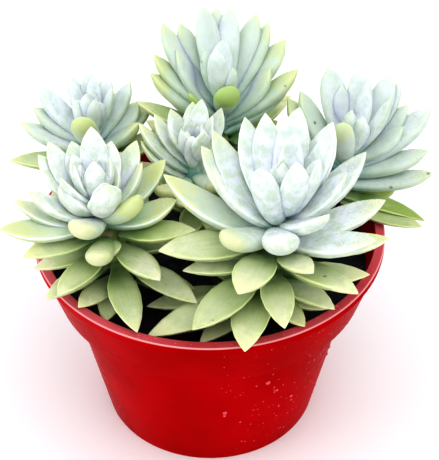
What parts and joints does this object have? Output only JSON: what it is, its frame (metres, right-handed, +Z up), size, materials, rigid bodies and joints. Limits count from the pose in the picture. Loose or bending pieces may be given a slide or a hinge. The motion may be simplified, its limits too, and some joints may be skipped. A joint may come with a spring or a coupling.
{
  "type": "potted sedeveria",
  "caption": "Potted succulent: a cluster of powdery, pointed-leaf rosettes on short stems growing from dark soil in a flared plastic nursery pot.",
  "frame": {"origin": "centre of the pot's flat underside, on the surface that it stands on", "axes": "+Z up along the pot's axis; +Y away from the side that the two front rosettes lean over, so that side faces -Y; +X to its right"},
  "size_m": [0.1325, 0.1168, 0.1268],
  "materials": {
    "pot": "gloss",
    "soil": "matte",
    "stem": "matte",
    "crown_leaf": "satin",
    "lower_leaf": "satin"
  },
  "bodies": {
    "root": {"pot": "pot", "soil": "soil", "front_right_stem": "stem", "front_right_crown": "crown_leaf", "front_right_leaf_01": "lower_leaf", "front_right_leaf_02": "lower_leaf", "front_right_leaf_03": "lower_leaf", "front_right_leaf_04": "lower_leaf", "front_right_leaf_05": "lower_leaf", "front_right_leaf_06": "lower_leaf", "front_right_leaf_07": "lower_leaf", "front_right_leaf_08": "lower_leaf", "front_right_leaf_09": "lower_leaf", "front_right_leaf_10": "lower_leaf", "front_right_leaf_11": "lower_leaf", "front_right_leaf_12": "lower_leaf", "front_right_leaf_13": "lower_leaf", "front_right_leaf_14": "lower_leaf", "front_right_leaf_15": "lower_leaf", "front_left_stem": "stem", "front_left_crown": "crown_leaf", "front_left_leaf_01": "lower_leaf", "front_left_leaf_02": "lower_leaf", "front_left_leaf_03": "lower_leaf", "front_left_leaf_04": "lower_leaf", "front_left_leaf_05": "lower_leaf", "front_left_leaf_06": "lower_leaf", "front_left_leaf_07": "lower_leaf", "front_left_leaf_08": "lower_leaf", "front_left_leaf_09": "lower_leaf", "front_left_leaf_10": "lower_leaf", "front_left_leaf_11": "lower_leaf", "front_left_leaf_12": "lower_leaf", "middle_stem": "stem", "middle_crown": "crown_leaf", "middle_leaf_01": "lower_leaf", "middle_leaf_02": "lower_leaf", "back_stem": "stem", "back_crown": "crown_leaf", "back_leaf_01": "lower_leaf", "back_leaf_02": "lower_leaf", "back_leaf_03": "lower_leaf", "back_leaf_04": "lower_leaf", "back_leaf_05": "lower_leaf", "back_left_stem": "stem", "back_left_crown": "crown_leaf", "back_left_leaf_01": "lower_leaf", "back_left_leaf_02": "lower_leaf", "back_left_leaf_03": "lower_leaf", "back_left_leaf_04": "lower_leaf", "back_left_leaf_05": "lower_leaf", "back_left_leaf_06": "lower_leaf", "back_right_stem": "stem", "back_right_crown": "crown_leaf", "back_right_leaf_01": "lower_leaf", "back_right_leaf_02": "lower_leaf", "back_right_leaf_03": "lower_leaf", "back_right_leaf_04": "lower_leaf", "back_right_leaf_05": "lower_leaf"}
  },
  "joints": []
}
